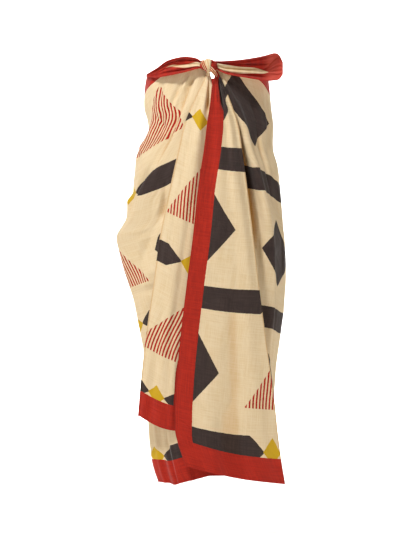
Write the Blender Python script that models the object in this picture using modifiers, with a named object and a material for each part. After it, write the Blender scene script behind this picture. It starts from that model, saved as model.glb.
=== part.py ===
"""A cotton sarong tied at the front of the waist, standing in the hollow form that it has when worn.

One printed cloth is wound round the body. Its two ends hang in front as panels, each turned under at a
fold, and its two upper corners are tied in a knot and stick out as tails. Each stretch of the cloth that
shows is one solid wall. Sizes are in millimetres in the tables, and in metres in the meshes. The origin is
at the middle of the waist, +X to the viewer's right, -Y to the front and +Z up. A drop is a distance down
from the waist.
"""

import math
from collections import namedtuple

import bpy
import numpy as np
from mathutils import Euler, Matrix

MM = 0.001
WALL = 1.2

# How many columns and rows of points each piece of cloth has.
Grid = namedtuple("Grid", "columns rows")
RIGHT_SIDE_GRID = Grid(19, 34)
BACK_GRID = Grid(27, 27)
LEFT_SIDE_GRID = Grid(24, 42)
CREST_COLUMN = 12
RIGHT_PANEL_GRID = Grid(15, 25)
LEFT_PANEL_GRID = Grid(12, 23)
TAIL_GRID = Grid(11, 14)

CREAM = (0.78, 0.62, 0.40)
RED = (0.50, 0.035, 0.022)
CLOTH_ROUGHNESS = 0.85

# The panels, the tails and the knot are given as they look from straight in front, so they are drawn in
# towards this line of sight by their depth.
SIGHT_X = -22.0
SIGHT_DROP = 477.0
SIGHT_DISTANCE = 5000.0

# The hollow tube round the body: how far it reaches to each side of the axis at each drop.
CORNER_ROUNDNESS = 0.92
GIRTH_RADIUS = 165.0
Section = namedtuple("Section", "drop left right front back")
WRAP_SECTIONS = (
    Section(-20, 152, 146, 108, 98),
    Section(50, 162, 153, 109, 106),
    Section(85, 161, 157, 111, 113),
    Section(110, 155, 160, 113, 119),
    Section(145, 154, 162, 115, 126),
    Section(160, 158, 161, 116, 128),
    Section(195, 171, 163, 118, 133),
    Section(225, 181, 171, 119, 137),
    Section(277, 190, 178, 121, 140),
    Section(320, 188, 182, 121, 141),
    Section(415, 187, 187, 121, 139),
    Section(520, 184, 186, 119, 134),
    Section(600, 177, 180, 117, 130),
    Section(640, 169, 175, 116, 128),
    Section(690, 156, 168, 115, 127),
    Section(820, 152, 157, 113, 124),
    Section(930, 144, 153, 111, 122),
    Section(980, 134, 153, 110, 121),
    Section(1040, 112, 153, 109, 121),
)

# The seams between the tube's three pieces, as shares of its girth from the right end to the left one.
RIGHT_SEAM = 0.30
LEFT_SEAM = 0.67
SEAM_SHARE = 0.0014

# The crest that runs from the knot to the left hip, where the cloth hangs out beside the body: its angle,
# how far it stands out of the tube, and its half widths towards the back and towards the front.
CrestRow = namedtuple("CrestRow", "drop angle reach before after")
HIP_CREST = (
    CrestRow(-20, 354, 3, 14, 20),
    CrestRow(75, 345, 7, 15, 26),
    CrestRow(120, 335, 9, 16, 28),
    CrestRow(195, 324, 11, 18, 32),
    CrestRow(285, 311, 14, 20, 36),
    CrestRow(330, 300, 19, 24, 38),
    CrestRow(360, 292, 29, 28, 38),
    CrestRow(395, 285, 44, 34, 38),
    CrestRow(418, 282, 46, 36, 40),
    CrestRow(450, 280, 39, 38, 42),
    CrestRow(510, 279, 22, 40, 44),
    CrestRow(570, 279, 8, 40, 44),
    CrestRow(640, 280, 4, 40, 44),
    CrestRow(1040, 288, 0, 40, 44),
)
CREST_ROUNDING = 6.0
CREST_POWER = 1.4
CREST_CLEARANCE = 14.0
COLUMNS_BEYOND_CREST = 1.3

# Where the tube's two ends lie at the front, under the panels.
FrontEnd = namedtuple("FrontEnd", "drop left_end right_end")
FRONT_ENDS = (
    FrontEnd(-20, -8, 18),
    FrontEnd(60, -15, 30),
    FrontEnd(200, -20, 38),
    FrontEnd(400, -12, 52),
    FrontEnd(700, 10, 76),
    FrontEnd(900, 34, 92),
    FrontEnd(1040, 46, 102),
)

# The tube's top edge and hem at each angle: 0 is the front, 90 the viewer's right and 180 the back.
Edge = namedtuple("Edge", "angle top hem")
WRAP_EDGES = (
    Edge(0, -2, 992),
    Edge(20, 0, 996),
    Edge(45, 5, 1000),
    Edge(90, 9, 1004),
    Edge(135, 3, 1010),
    Edge(180, 0, 1008),
    Edge(225, 3, 1014),
    Edge(270, 5, 1013),
    Edge(300, 4, 1012),
    Edge(318, 1, 1015),
    Edge(332, 0, 1007),
    Edge(345, -1, 1000),
    Edge(360, -2, 990),
)

# Folds, each a ridge (or a trough, where the height is negative) from its start to its end. Before and
# after are its half widths on the side of smaller and of larger place, and bend bows it sideways. On the
# tube the places are angles. A fold fades in at its start, and fades out if it ends above the hem.
Fold = namedtuple("Fold", "start_at start_drop end_at end_drop height before after bend")
HEM_REACH = 980.0
FADE_IN = 0.25
FADED_AT_START = 0.35
FADE_OUT = 0.42
FADE_OUT_FROM = 0.72
WRAP_FOLDS = (
    # the folds that fan out from the knot over the left hip
    Fold(336, 40, 326, 150, -5, 14, 14, 0),
    Fold(331, 240, 300, 470, -7, 22, 22, 6),
    Fold(338, 400, 296, 560, 5, 20, 20, 0),
    Fold(332, 520, 296, 640, -5, 18, 18, 0),
    Fold(300, 130, 268, 225, 9, 22, 22, 0),
    Fold(302, 60, 268, 150, -5, 20, 20, 0),
    Fold(270, 300, 276, 415, 17, 24, 18, 0),
    Fold(287, 640, 286, 1035, 7, 22, 24, 0),
    Fold(306, 640, 306, 1035, -7, 20, 20, 0),
    Fold(328, 700, 332, 1035, 8, 18, 22, 0),
    # the roll that falls from the knot over the right hip, and the hollow that it leaves by the panel
    Fold(9, -5, 50, 430, 14, 13, 17, 14),
    Fold(22, 110, 41, 500, -15, 13, 12, 5),
    Fold(33, 20, 62, 330, -5, 16, 18, 6),
    Fold(50, 330, 66, 1000, 7, 22, 26, 0),
    Fold(60, 60, 70, 380, -5, 18, 18, 0),
    Fold(87, 400, 84, 1035, 6, 24, 24, 0),
    # the soft flutes at the sides and the back
    Fold(104, 330, 106, 1035, -9, 26, 26, 0),
    Fold(122, 240, 124, 1035, 11, 24, 30, 5),
    Fold(141, 300, 143, 1035, -9, 24, 22, 0),
    Fold(158, 260, 160, 1035, 12, 26, 24, -5),
    Fold(176, 330, 178, 1035, -10, 24, 26, 0),
    Fold(194, 280, 196, 1035, 11, 22, 28, 4),
    Fold(212, 340, 215, 1035, -9, 24, 24, 0),
    Fold(231, 250, 234, 1035, 12, 26, 24, -4),
    Fold(250, 330, 254, 1035, -9, 24, 24, 0),
    Fold(214, 20, 258, 170, 5, 18, 18, 0),
    Fold(150, 20, 104, 150, 5, 18, 18, 0),
)

# The front panels: the free edge and the fold at their sides, with the drop of one cloth row at each, how
# far the row sags between them and how far the panel stands proud of the tube.
CURTAIN_REACH = 245.0
CURTAIN_END = 0.95
PanelRow = namedtuple("PanelRow", "free_x free_drop fold_x fold_drop belly proud")
RIGHT_PANEL_ROWS = (
    PanelRow(15.4, -1.8, 24, -2, 0, 17),
    PanelRow(9, 24, 34, 22, 0, 20),
    PanelRow(3, 75, 51, 66, 2, 23),
    PanelRow(-4, 120, 70, 126, 3, 24),
    PanelRow(-12, 186, 81, 198, 4, 24),
    PanelRow(-27, 285, 95, 302, 5, 25),
    PanelRow(-39, 400, 109, 416, 7, 25),
    PanelRow(-57, 540, 126, 560, 9, 25),
    PanelRow(-71, 660, 144, 696, 11, 25),
    PanelRow(-80, 765, 160, 810, 16, 25),
    PanelRow(-84, 860, 169, 895, 22, 25),
    PanelRow(-81, 905, 177, 960, 24, 25),
    PanelRow(-58, 977, 187, 1022, 14, 25),
)
LEFT_PANEL_ROWS = (
    PanelRow(3, 2, -6, 1, 0, 13),
    PanelRow(9, 28, -14, 22, 0, 15),
    PanelRow(16, 78, -33, 62, 1, 17),
    PanelRow(20, 153, -57, 122, 2, 17),
    PanelRow(18, 232, -73, 190, 2, 15),
    PanelRow(10, 332, -95, 288, 3, 14),
    PanelRow(0, 452, -118, 400, 6, 14),
    PanelRow(-18, 573, -135, 520, 8, 13),
    PanelRow(-38, 690, -152, 640, 10, 13),
    PanelRow(-46, 798, -165, 750, 12, 13),
    PanelRow(-50, 889, -174, 852, 26, 13),
)
RIGHT_PANEL_TUCK = 62.0
LEFT_PANEL_TUCK = 48.0
TUCK_SHARE = 0.55
TUCK_DEPTH = 7.0
TUCK_DEPTH_AT_TOP = 3.4
TUCK_DEPTH_GROWTH = 0.05
TUCK_SAG = 0.02
TURN_DEGREES = (50, 90, 130, 180)
TUCKED_SHARES = (0.35, 0.7, 1.0)
RIGHT_PANEL_OVERLAP = 8.0
OVERLAP_SHARE = 0.35
FULL_RELIEF_WIDTH = 90.0

# Folds on the panels. The places are shares of the width (0 at the free edge, 1 at the fold), and the half
# widths are those at a panel width of 110.
PANEL_SCALE = 110.0
RIGHT_PANEL_FOLDS = (
    Fold(0.30, 20, 0.42, 420, 5, 15, 17, 0),
    Fold(0.72, 20, 0.80, 380, 5, 13, 13, 0),
    Fold(0.12, 30, 0.16, 620, -3, 11, 11, 0),
    Fold(0.88, 300, 0.86, 1000, 5, 17, 13, 0),
    Fold(0.34, 640, 0.28, 1035, 6, 15, 17, 0),
    Fold(0.60, 560, 0.58, 1035, -6, 15, 15, 0),
)
LEFT_PANEL_FOLDS = (
    Fold(0.55, 20, 0.62, 380, 5, 17, 17, 0),
    Fold(0.30, 60, 0.34, 620, -4, 15, 15, 0),
    Fold(0.70, 420, 0.66, 900, 5, 20, 15, 0),
)

# The tails: the upper and lower outline, the depth and the cup at each distance out from the knot.
TailRow = namedtuple("TailRow", "x upper lower y cup")
RIGHT_TAIL_ROWS = (
    TailRow(17.3, 34, 17, -129, 4),
    TailRow(30, 34, 9, -132, 8),
    TailRow(45, 35, 3, -133, 11),
    TailRow(75, 37, -3, -131, 15),
    TailRow(110, 42, -9, -121, 18),
    TailRow(140, 48, -14, -106, 19),
    TailRow(163, 54, -13, -91, 17),
    TailRow(175, 49, -10, -82, 12),
    TailRow(184, 32, 2, -75, 5),
)
LEFT_TAIL_ROWS = (
    TailRow(-21.3, 35, 18, -128, 3),
    TailRow(-34, 42, 15, -130, 8),
    TailRow(-60, 45, 8, -126, 12),
    TailRow(-86, 41, 2, -116, 12),
    TailRow(-108, 33, -2, -103, 11),
    TailRow(-130, 17, -6, -82, 9),
    TailRow(-148, 6, -5, -58, 6),
    TailRow(-156, 1, -3, -40, 3),
)
TAIL_GATHER = 1.6
TAIL_PLEATS = 2

# The knot: a core, two bands round it and the strand that leaves it at the lower right.
KNOT_CENTRE = (0, -126, 21)
KNOT_CORE = (16.5, 12, 15)
Band = namedtuple("Band", "centre major minor turn_x turn_y turn_z")
KNOT_BANDS = (
    Band((-2, -126, 20), 15, 6, 0, 90, 3),
    Band((-10, -126, 23), 10, 6, -20, 76, 10),
)
STRAND_CENTRE = (8, -130, 12)
STRAND_SIZE = (6, 6, 12)
STRAND_TILT = -28


def hermite(places, values, at):
    """A smooth curve through the values at their places, read at one or more places."""
    places = np.asarray(places, float)
    values = np.asarray(values, float)
    at = np.clip(np.asarray(at, float), places[0], places[-1])
    slopes = np.gradient(values, places)
    i = np.clip(np.searchsorted(places, at, side="right") - 1, 0, len(places) - 2)
    step = places[i + 1] - places[i]
    q = (at - places[i]) / step
    return (
        values[i] * (2 * q**3 - 3 * q**2 + 1)
        + slopes[i] * step * (q**3 - 2 * q**2 + q)
        + values[i + 1] * (3 * q**2 - 2 * q**3)
        + slopes[i + 1] * step * (q**3 - q**2)
    )


def column(table, name, at):
    """One named column of a table, read smoothly along the table's first column."""
    return hermite([row[0] for row in table], [getattr(row, name) for row in table], at)


def columns_by_row(table, rows):
    """Every column of a table, read smoothly at evenly spaced rows."""
    steps = range(len(table))
    place = np.linspace(0, len(table) - 1, rows)
    return [hermite(steps, values, place)[:, None] for values in zip(*table)]


def smooth_step(value):
    value = np.clip(value, 0, 1)
    return value * value * (3 - 2 * value)


def fold_relief(folds, across, drop, scale):
    """The sum of the folds' heights at each point. Scale turns the places into millimetres."""
    total = np.zeros(np.broadcast(across, drop).shape)
    for fold in folds:
        start = np.array([fold.start_at * scale, fold.start_drop])
        run = np.array([fold.end_at * scale, fold.end_drop]) - start
        length = np.hypot(*run)
        right = across * scale - start[0]
        down = drop - start[1]
        along = (right * run[0] + down * run[1]) / length**2
        bow = 4 * np.clip(along, 0, 1) * (1 - np.clip(along, 0, 1))
        beside = (right * run[1] - down * run[0]) / length - fold.bend * bow
        strength = smooth_step(along / FADE_IN + FADED_AT_START)
        if fold.end_drop < HEM_REACH:
            strength = strength * (1 - smooth_step((along - FADE_OUT_FROM) / FADE_OUT))
        width = np.where(beside < 0, fold.before, fold.after)
        total = total + fold.height * np.exp(-((beside / width) ** 2)) * strength
    return total


def drawn_in(grid):
    """Moves points towards the line of sight by their depth, so that from the front they look as given."""
    nearness = 1 + grid[..., 1:2] / SIGHT_DISTANCE
    sight = np.array([SIGHT_X, 0.0, -SIGHT_DROP])
    depth_only = np.array([0.0, 1.0, 0.0])
    return sight + (grid - sight) * nearness * (1 - depth_only) + grid * depth_only


def signed_power(value, power):
    return np.sign(value) * np.abs(value) ** power


def wrap_outline(angle, drop):
    """The tube's smooth outline, without its folds: x and y at an angle and a drop."""
    turn = np.radians(angle)
    side = np.where(
        np.sin(turn) > 0, column(WRAP_SECTIONS, "right", drop), column(WRAP_SECTIONS, "left", drop)
    )
    face = np.where(
        np.cos(turn) > 0, column(WRAP_SECTIONS, "front", drop), column(WRAP_SECTIONS, "back", drop)
    )
    return (
        side * signed_power(np.sin(turn), CORNER_ROUNDNESS),
        -face * signed_power(np.cos(turn), CORNER_ROUNDNESS),
    )


def front_angle(x, drop):
    """The angle at which the tube's front passes a given x."""
    side = np.where(x > 0, column(WRAP_SECTIONS, "right", drop), column(WRAP_SECTIONS, "left", drop))
    share = np.abs(x / side) ** (1 / CORNER_ROUNDNESS)
    return np.sign(x) * np.degrees(np.arcsin(share))


def hip_crest(angle, drop, degree):
    """How far the crest over the left hip stands out of the tube. Degree is a degree's length."""
    beside = (angle - column(HIP_CREST, "angle", drop)) * degree
    width = np.where(beside < 0, column(HIP_CREST, "before", drop), column(HIP_CREST, "after", drop))
    away = np.sqrt(beside**2 + CREST_ROUNDING**2) - CREST_ROUNDING
    return column(HIP_CREST, "reach", drop) * np.exp(-((away / width) ** CREST_POWER))


def wrap_point(angle, drop):
    """A point of the tube's outer face, folds included."""
    x, y = wrap_outline(angle, drop)
    ahead_x, ahead_y = wrap_outline(angle + 1, drop)
    back_x, back_y = wrap_outline(angle - 1, drop)
    along = np.stack([ahead_x - back_x, ahead_y - back_y], -1)
    along = along / np.linalg.norm(along, axis=-1, keepdims=True)
    degree = math.radians(1) * GIRTH_RADIUS
    relief = fold_relief(WRAP_FOLDS, angle, drop, degree) + hip_crest(angle, drop, degree)
    return np.stack([x + along[..., 1] * relief, y - along[..., 0] * relief, -drop], -1)


def wrap_grid(first, last, grid, crest_column=None):
    """The tube's points between two shares of its girth. One column can be set to ride along the crest."""
    down = np.linspace(0, 1, grid.rows)[:, None]
    shares = np.linspace(first, last, grid.columns)[None, :]
    guess = np.broadcast_to(down * HEM_REACH, (grid.rows, grid.columns))
    for _ in range(3):
        start = front_angle(column(FRONT_ENDS, "right_end", guess), guess)
        end = 360 + front_angle(column(FRONT_ENDS, "left_end", guess), guess)
        angle = start + (end - start) * shares
        if crest_column is not None:
            seam = start + (end - start) * first
            crest = np.minimum(column(HIP_CREST, "angle", guess), end - CREST_CLEARANCE)
            step = np.arange(grid.columns)[None, :]
            before = np.sin(np.clip(step / crest_column, 0, 1) * math.pi / 2)
            after = np.clip((step - crest_column) / (grid.columns - 1 - crest_column), 0, 1)
            after = after**COLUMNS_BEYOND_CREST
            angle = seam + (crest - seam) * before + (end - crest) * after
        top = column(WRAP_EDGES, "top", angle)
        hem = column(WRAP_EDGES, "hem", angle)
        guess = top + (hem - top) * down
    return wrap_point(angle, guess)


def curtain(x, drop):
    """The depth of a flat cloth hung in front of the tube."""
    front = column(WRAP_SECTIONS, "front", drop)
    return -front * np.sqrt(1 - np.minimum(np.abs(x) / CURTAIN_REACH, CURTAIN_END) ** 2)


def panel_grid(table, folds, tuck, overlap, grid):
    """A hanging panel's points: its face from the free edge to the fold, then the turn and the tuck."""
    free_x, free_drop, fold_x, fold_drop, belly, proud = columns_by_row(table, grid.rows)
    width = np.abs(fold_x - free_x)

    def face_at(share):
        x = free_x + (fold_x - free_x) * share
        sag = belly * np.sin(math.pi * np.clip(share, 0, 1)) / 2
        drop = free_drop + (fold_drop - free_drop) * share + sag
        relief = fold_relief(folds, share, drop, PANEL_SCALE) * np.minimum(1, width / FULL_RELIEF_WIDTH)
        raised = overlap * smooth_step(1 - share / OVERLAP_SHARE)
        return np.stack([x, curtain(x, drop) - proud - relief - raised, -drop], -1)

    face = face_at(np.linspace(0, 1, grid.columns)[None, :])
    outward = np.sign(fold_x - free_x)
    depth = np.minimum(TUCK_DEPTH, TUCK_DEPTH_AT_TOP + TUCK_DEPTH_GROWTH * width)
    turn = np.radians(TURN_DEGREES)[None, :]
    round_x = outward * np.sin(turn) * depth / 2
    round_y = (1 - np.cos(turn)) * depth / 2
    turned = face[:, -1:, :] + np.stack([round_x, round_y, 0 * round_y], -1)
    reach = np.minimum(tuck, TUCK_SHARE * width) * np.array(TUCKED_SHARES)[None, :]
    tucked = face_at(1 - reach / width) + np.stack([0 * reach, depth + 0 * reach, TUCK_SAG * reach], -1)
    return drawn_in(np.concatenate([face, turned, tucked], 1))


def tail_grid(table, grid):
    """A tail's points: a scoop of cloth that is open to the front, from the knot to its rounded tip."""
    x, upper, lower, y, cup = columns_by_row(table, grid.rows)
    across = np.linspace(-1, 1, grid.columns)[None, :]
    height = (upper + lower) / 2 + (upper - lower) / 2 * np.sin(across * math.pi / 2)
    out = np.linspace(0, 1, grid.rows)[:, None]
    gather = TAIL_GATHER * np.cos(across * 2 * math.pi * TAIL_PLEATS) * np.sqrt(1 - out)
    return drawn_in(np.stack([x + 0 * across, y + cup * (1 - across**2) + gather, height], -1))


def material(name, colour, roughness):
    made = bpy.data.materials.new(name)
    made.use_nodes = True
    shader = made.node_tree.nodes["Principled BSDF"]
    shader.inputs["Base Color"].default_value = (*colour, 1)
    shader.inputs["Roughness"].default_value = roughness
    return made


def cloth_wall(name, grid, finish, collection, flip=False):
    """A wall of cloth: a sheet through a grid of points in millimetres, thickened inwards."""
    rows, columns = grid.shape[:2]
    mesh = bpy.data.meshes.new(name)
    faces = []
    for r in range(rows - 1):
        for c in range(columns - 1):
            a = r * columns + c
            corners = (a, a + columns, a + columns + 1, a + 1)
            faces.append(corners[::-1] if flip else corners)
    mesh.from_pydata((grid.reshape(-1, 3) * MM).tolist(), [], faces)
    mesh.materials.append(finish)
    mesh.shade_smooth()
    wall = bpy.data.objects.new(name, mesh)
    collection.objects.link(wall)
    thick = wall.modifiers.new("cloth", "SOLIDIFY")
    thick.thickness = WALL * MM
    thick.offset = -1
    return wall


def place_as_given(piece, centre, turn_degrees, size):
    """Sizes, turns and places a mesh made at the world's origin. The centre is given as it looks."""
    at = drawn_in(np.array(centre, float)) * MM
    turn = Euler([math.radians(t) for t in turn_degrees]).to_matrix().to_4x4()
    scale = Matrix.Diagonal((size[0] * MM, size[1] * MM, size[2] * MM, 1))
    piece.data.transform(Matrix.Translation(at) @ turn @ scale)


def knot(finish, collection):
    """The knot as one lump of cloth."""
    bpy.ops.mesh.primitive_uv_sphere_add(segments=20, ring_count=12, radius=1)
    core = bpy.context.active_object
    core.name = "knot"
    place_as_given(core, KNOT_CENTRE, (0, 0, 0), KNOT_CORE)
    joined = []
    for band in KNOT_BANDS:
        bpy.ops.mesh.primitive_torus_add(
            major_segments=20, minor_segments=10, major_radius=band.major, minor_radius=band.minor
        )
        joined.append(bpy.context.active_object)
        place_as_given(joined[-1], band.centre, (band.turn_x, band.turn_y, band.turn_z), (1, 1, 1))
    bpy.ops.mesh.primitive_uv_sphere_add(segments=14, ring_count=10, radius=1)
    joined.append(bpy.context.active_object)
    place_as_given(joined[-1], STRAND_CENTRE, (0, STRAND_TILT, 0), STRAND_SIZE)
    for piece in joined:
        join = core.modifiers.new("join", "BOOLEAN")
        join.operation = "UNION"
        join.solver = "EXACT"
        join.object = piece
        piece.hide_render = True
        piece.display_type = "WIRE"
        move_to(piece, collection_named("cutters"))
    core.data.materials.append(finish)
    core.data.shade_smooth()
    move_to(core, collection)


def collection_named(name):
    found = bpy.data.collections.get(name)
    if found is None:
        found = bpy.data.collections.new(name)
        bpy.context.scene.collection.children.link(found)
    return found


def move_to(piece, collection):
    for holder in list(piece.users_collection):
        holder.objects.unlink(piece)
    collection.objects.link(piece)


def main():
    for piece in list(bpy.data.objects):
        bpy.data.objects.remove(piece)
    sarong = collection_named("sarong")
    print_cloth = material("printed_cotton", CREAM, CLOTH_ROUGHNESS)
    border_cloth = material("red_border_cotton", RED, CLOTH_ROUGHNESS)
    right_side = wrap_grid(0, RIGHT_SEAM - SEAM_SHARE, RIGHT_SIDE_GRID)
    back = wrap_grid(RIGHT_SEAM, LEFT_SEAM - SEAM_SHARE, BACK_GRID)
    left_side = wrap_grid(LEFT_SEAM, 1, LEFT_SIDE_GRID, CREST_COLUMN)
    right_panel = panel_grid(
        RIGHT_PANEL_ROWS, RIGHT_PANEL_FOLDS, RIGHT_PANEL_TUCK, RIGHT_PANEL_OVERLAP, RIGHT_PANEL_GRID
    )
    left_panel = panel_grid(LEFT_PANEL_ROWS, LEFT_PANEL_FOLDS, LEFT_PANEL_TUCK, 0, LEFT_PANEL_GRID)
    cloth_wall("right_side", right_side, print_cloth, sarong)
    cloth_wall("back", back, print_cloth, sarong)
    cloth_wall("left_side", left_side, print_cloth, sarong)
    cloth_wall("right_front_panel", right_panel, print_cloth, sarong)
    cloth_wall("left_front_panel", left_panel, print_cloth, sarong, flip=True)
    cloth_wall("right_tail", tail_grid(RIGHT_TAIL_ROWS, TAIL_GRID), border_cloth, sarong)
    cloth_wall("left_tail", tail_grid(LEFT_TAIL_ROWS, TAIL_GRID), border_cloth, sarong, flip=True)
    knot(print_cloth, sarong)


main()
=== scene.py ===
"""Dresses the frame of a tied cotton sarong: thin printed cloth on the form of each solid wall, with its
creases, gathers and rolled hems, and the folded knot and tails at the waist.

Sizes in the tables are in millimetres and meshes are in metres, in the frame's own axes: +X to the viewer's
right, -Y to the front and +Z up, from the middle of the waist. A drop is a distance down from the waist.
"""

import math
from collections import namedtuple

import bpy
import numpy as np
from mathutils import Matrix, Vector


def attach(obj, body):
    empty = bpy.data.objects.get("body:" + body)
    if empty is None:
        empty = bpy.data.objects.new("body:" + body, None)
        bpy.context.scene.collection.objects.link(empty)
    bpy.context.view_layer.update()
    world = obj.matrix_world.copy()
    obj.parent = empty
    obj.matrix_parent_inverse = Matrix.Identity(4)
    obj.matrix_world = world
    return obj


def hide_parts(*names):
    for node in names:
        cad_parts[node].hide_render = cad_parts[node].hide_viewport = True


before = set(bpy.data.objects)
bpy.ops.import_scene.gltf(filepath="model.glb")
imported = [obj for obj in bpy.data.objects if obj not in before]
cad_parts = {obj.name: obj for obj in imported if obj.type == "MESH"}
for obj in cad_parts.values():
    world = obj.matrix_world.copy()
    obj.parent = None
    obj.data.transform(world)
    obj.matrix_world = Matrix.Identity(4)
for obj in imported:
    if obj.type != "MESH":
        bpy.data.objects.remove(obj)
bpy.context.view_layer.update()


def rows_of(kind, *rows):
    """A table whose rows share one kind's named columns."""
    return tuple(kind(*row) for row in rows)


MM = 0.001
CLOTH_THICKNESS = 0.5
HEM_RADIUS = 1.0

# How many columns and rows of points each piece of cloth has.
Grid = namedtuple("Grid", "columns rows")
WRAP_GRID = Grid(300, 220)
RIGHT_PANEL_GRID = Grid(100, 230)
LEFT_PANEL_GRID = Grid(64, 210)
TAIL_GRID = Grid(95, 151)
STRAND_GRID = Grid(40, 50)

# The cut of the whole cloth, and where it lies: how far along it the middle of the back is.
CLOTH_LENGTH = 1600.0
CLOTH_HEIGHT = 1100.0
LONG_BORDER = 60.0
END_BORDER = 42.0
BACK_MIDDLE = 800.0

# The panels, the tails and the knot are given as they look from straight in front, so they are drawn in
# towards this line of sight by their depth.
SIGHT_X = -22.0
SIGHT_DROP = 477.0
SIGHT_DISTANCE = 5000.0

# The hollow tube round the body: how far it reaches to each side of the axis at each drop.
CORNER_ROUNDNESS = 0.92
GIRTH_RADIUS = 165.0
# One degree round the tube is taken as this long in its folds and creases.
DEGREE = math.radians(1) * GIRTH_RADIUS
Section = namedtuple("Section", "drop left right front back")
WRAP_SECTIONS = rows_of(
    Section,
    (-20, 152, 146, 108, 98),
    (50, 162, 153, 109, 106),
    (85, 161, 157, 111, 113),
    (110, 155, 160, 113, 119),
    (145, 154, 162, 115, 126),
    (160, 158, 161, 116, 128),
    (195, 171, 163, 118, 133),
    (225, 181, 171, 119, 137),
    (277, 190, 178, 121, 140),
    (320, 188, 182, 121, 141),
    (415, 187, 187, 121, 139),
    (520, 184, 186, 119, 134),
    (600, 177, 180, 117, 130),
    (640, 169, 175, 116, 128),
    (690, 156, 168, 115, 127),
    (820, 152, 157, 113, 124),
    (930, 144, 153, 111, 122),
    (980, 134, 153, 110, 121),
    (1040, 112, 153, 109, 121),
)

# The seams between the tube's three pieces, as shares of its girth from the right end to the left one.
RIGHT_SEAM = 0.30
LEFT_SEAM = 0.67

# The crest that runs from the knot to the left hip, where the cloth hangs out beside the body: its angle,
# how far it stands out of the tube, and its half widths towards the back and towards the front.
CrestRow = namedtuple("CrestRow", "drop angle reach before after")
HIP_CREST = rows_of(
    CrestRow,
    (-20, 354, 5, 7, 20),
    (75, 345, 10, 7, 26),
    (120, 335, 12, 8, 28),
    (195, 324, 14, 10, 32),
    (285, 311, 17, 13, 36),
    (330, 300, 20, 19, 38),
    (360, 292, 29, 28, 38),
    (395, 285, 44, 34, 38),
    (418, 282, 46, 36, 40),
    (450, 280, 39, 38, 42),
    (510, 279, 22, 40, 44),
    (570, 279, 8, 40, 44),
    (640, 280, 4, 40, 44),
    (1040, 288, 0, 40, 44),
)
# The crest's line is rounded off by this much, and its flanks fall away by this power.
CREST_ROUNDING = 6.0
CREST_POWER = 1.4

# Where the tube's two ends lie at the front, under the panels.
FrontEnd = namedtuple("FrontEnd", "drop left_end right_end")
FRONT_ENDS = rows_of(
    FrontEnd,
    (-20, 3, 12),
    (60, -10, 28),
    (200, -20, 38),
    (400, -12, 52),
    (700, 10, 76),
    (900, 34, 92),
    (1040, 46, 102),
)

# The tube's top edge and hem at each angle: 0 is the front, 90 the viewer's right and 180 the back.
Edge = namedtuple("Edge", "angle top hem")
WRAP_EDGES = rows_of(
    Edge,
    (0, -20, 992),
    (8, -14, 994),
    (20, 0, 996),
    (45, 5, 1000),
    (90, 9, 1004),
    (135, 3, 1010),
    (180, 0, 1008),
    (225, 3, 1014),
    (270, 5, 1013),
    (300, 4, 1012),
    (318, 1, 1015),
    (332, 0, 1007),
    (345, -3, 1000),
    (353, -10, 995),
    (360, -16, 990),
)

# Folds, each a ridge (or a trough, where the height is negative) from its start to its end. Before and
# after are its half widths on the side of smaller and of larger place, and bend bows it sideways. On the
# tube the places are angles. A fold fades in at its start, and fades out if it ends above the hem. The
# fades are shares of its length.
Fold = namedtuple("Fold", "start_at start_drop end_at end_drop height before after bend", defaults=(0,))
HEM_REACH = 980.0
FADE_IN = 0.25
FADED_AT_START = 0.35
FADE_OUT = 0.42
FADE_OUT_FROM = 0.72
WRAP_FOLDS = rows_of(
    Fold,
    # the folds that fan out from the knot over the left hip
    (336, 40, 326, 150, -5, 14, 14),
    (331, 240, 300, 470, -7, 22, 22, 6),
    (338, 400, 296, 560, 5, 20, 20),
    (332, 520, 296, 640, -5, 18, 18),
    (300, 130, 268, 225, 9, 22, 22),
    (302, 60, 268, 150, -5, 20, 20),
    (270, 300, 276, 415, 17, 24, 18),
    (287, 640, 286, 1035, 7, 22, 24),
    (306, 640, 306, 1035, -7, 20, 20),
    (328, 700, 332, 1035, 8, 18, 22),
    # the roll that falls from the knot over the right hip, and the hollow that it leaves by the panel
    (9, -5, 50, 430, 14, 13, 17, 14),
    (22, 110, 41, 500, -15, 13, 12, 5),
    (33, 20, 62, 330, -5, 16, 18, 6),
    (50, 330, 66, 1000, 7, 22, 26),
    (60, 60, 70, 380, -5, 18, 18),
    (87, 400, 84, 1035, 6, 24, 24),
    # the soft flutes at the sides and the back
    (104, 330, 106, 1035, -9, 26, 26),
    (122, 240, 124, 1035, 11, 24, 30, 5),
    (141, 300, 143, 1035, -9, 24, 22),
    (158, 260, 160, 1035, 12, 26, 24, -5),
    (176, 330, 178, 1035, -10, 24, 26),
    (194, 280, 196, 1035, 11, 22, 28, 4),
    (212, 340, 215, 1035, -9, 24, 24),
    (231, 250, 234, 1035, 12, 26, 24, -4),
    (250, 330, 254, 1035, -9, 24, 24),
    (214, 20, 258, 170, 5, 18, 18),
    (150, 20, 104, 150, 5, 18, 18),
)

# The panels hang in a shallow curve before the tube. It would meet the tube's side at the curtain's reach,
# and it is read no nearer to that than its end.
CURTAIN_REACH = 245.0
CURTAIN_END = 0.95

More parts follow.
